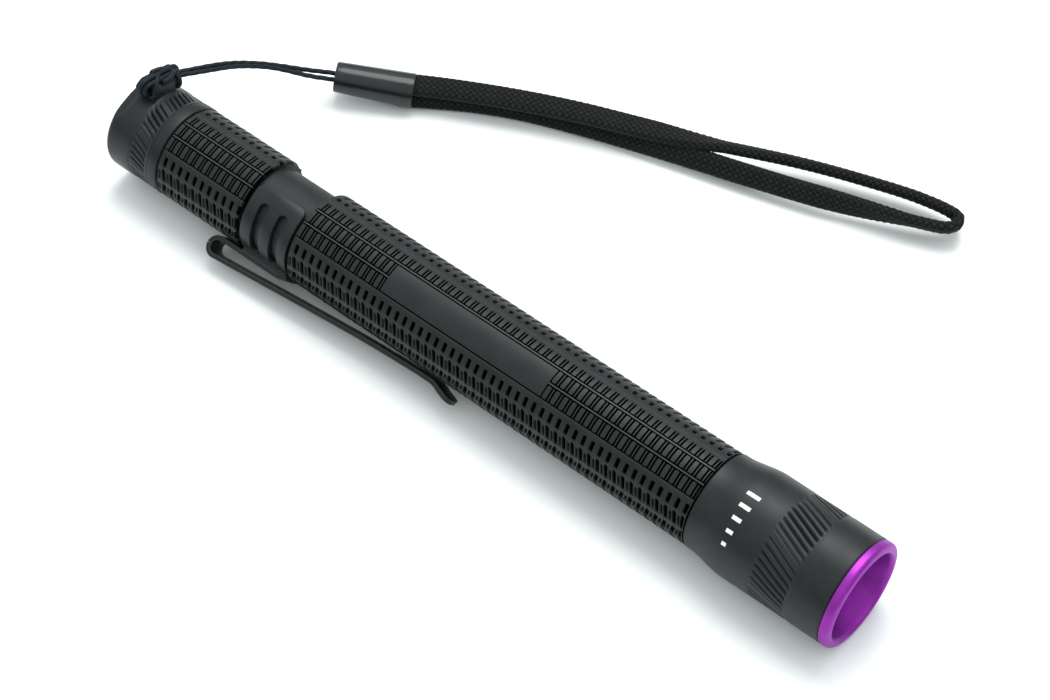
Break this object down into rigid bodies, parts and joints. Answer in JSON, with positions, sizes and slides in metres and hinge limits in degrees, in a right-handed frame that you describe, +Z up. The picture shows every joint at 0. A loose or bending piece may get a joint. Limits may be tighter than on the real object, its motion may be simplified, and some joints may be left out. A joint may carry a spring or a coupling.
{
  "type": "counterfeit detector penlight",
  "caption": "Slim ultraviolet penlight for checking banknotes, with a knurled grip, screw-off head and tail, push switch, snap-fit pocket clip and braided wrist lanyard.",
  "frame": {"origin": "under the middle of the pen's bounding box, without its lanyard, on the surface it lies on", "axes": "+X along the pen from the tail cap to the head, +Z up, +Y towards the side where the lanyard lies"},
  "size_m": [0.1456, 0.0862, 0.0204],
  "materials": {
    "black_anodised": "matte anodised, knurled and grooved",
    "purple_anodised": "satin anodised",
    "black_spring_steel": "black oxide, worn bright at its edges",
    "bright_spring_wire": "bright",
    "brass": "turned",
    "black_rubber": "matte",
    "black_nylon": "moulded",
    "board_green": "solder mask",
    "board_white": "white solder mask on metal core",
    "diode_resin": "clear dome on a ceramic base",
    "filter_glass": "dark violet filter glass",
    "cell_label": "printed sleeve on a steel can",
    "wire_red": "silicone insulation",
    "wire_black": "silicone insulation",
    "black_braid": "flat braided polyester",
    "black_cord": "thin twisted nylon",
    "sleeve_plastic": "polished"
  },
  "bodies": {
    "barrel": {"barrel": "black_anodised", "battery_rear": "cell_label", "battery_front": "cell_label"},
    "tail_o_ring": {"tail_o_ring": "black_rubber"},
    "tail_cap": {"tail_cap": "black_anodised", "switch_housing": "black_nylon", "switch_ring": "brass", "switch_board": "board_green", "switch_spring": "bright_spring_wire", "tail_spring": "bright_spring_wire", "lanyard_knot": "black_cord", "lanyard_thread_upper": "black_cord", "lanyard_thread_lower": "black_cord", "lanyard_sleeve": "sleeve_plastic", "lanyard_strap": "black_braid"},
    "button": {"switch_button": "black_rubber", "switch_plunger": "black_nylon"},
    "head_o_ring": {"head_o_ring": "black_rubber"},
    "head": {"head_shell": "black_anodised", "bezel_ring": "purple_anodised", "filter_lens": "filter_glass", "lens_gasket": "black_rubber", "uv_led": "diode_resin", "led_board": "board_white", "led_pill": "brass", "driver_board": "board_green", "front_spring": "bright_spring_wire", "led_wire_positive": "wire_red", "led_wire_negative": "wire_black"},
    "clip": {"clip_clamp": "black_spring_steel"},
    "clip_arm": {"clip_arm": "black_spring_steel"}
  },
  "joints": [
    {"name": "tail_advance", "type": "slide", "parent": "barrel", "child": "tail_o_ring", "axis": [-1, 0, 0], "range_m": [0, 0.004], "deforming": ["tail_spring"]},
    {"name": "tail_twist", "type": "hinge", "parent": "tail_o_ring", "child": "tail_cap", "pos_m": [-0.06245, 0.00094, 0.00895], "axis": [-1, 0, 0], "range_deg": [0, 1441]},
    {"name": "switch_press", "type": "slide", "parent": "tail_cap", "child": "button", "axis": [1, 0, 0], "range_m": [0, 0.0012], "stiffness_N_per_m": 120, "springref_m": -0.002, "deforming": ["switch_spring"]},
    {"name": "head_advance", "type": "slide", "parent": "barrel", "child": "head_o_ring", "axis": [1, 0, 0], "range_m": [0, 0.004], "deforming": ["front_spring"]},
    {"name": "head_twist", "type": "hinge", "parent": "head_o_ring", "child": "head", "pos_m": [0.05025, 0.00094, 0.00895], "axis": [1, 0, 0], "range_deg": [0, 1441]},
    {"name": "clip_swivel", "type": "hinge", "parent": "barrel", "child": "clip", "pos_m": [-0.03815, 0.00094, 0.00895], "axis": [1, 0, 0], "continuous": true},
    {"name": "clip_flex", "type": "hinge", "parent": "clip", "child": "clip_arm", "pos_m": [-0.04875, -0.00708, 0.00284], "axis": [0, 0.606, -0.7955], "range_deg": [0, 6], "stiffness_Nm_per_rad": 0.08, "springref_deg": -17.19}
  ],
  "couplings": [
    {"joint": "tail_twist", "follows": "tail_advance", "rad_per_m": 6283.2},
    {"joint": "head_twist", "follows": "head_advance", "rad_per_m": 6283.2}
  ]
}
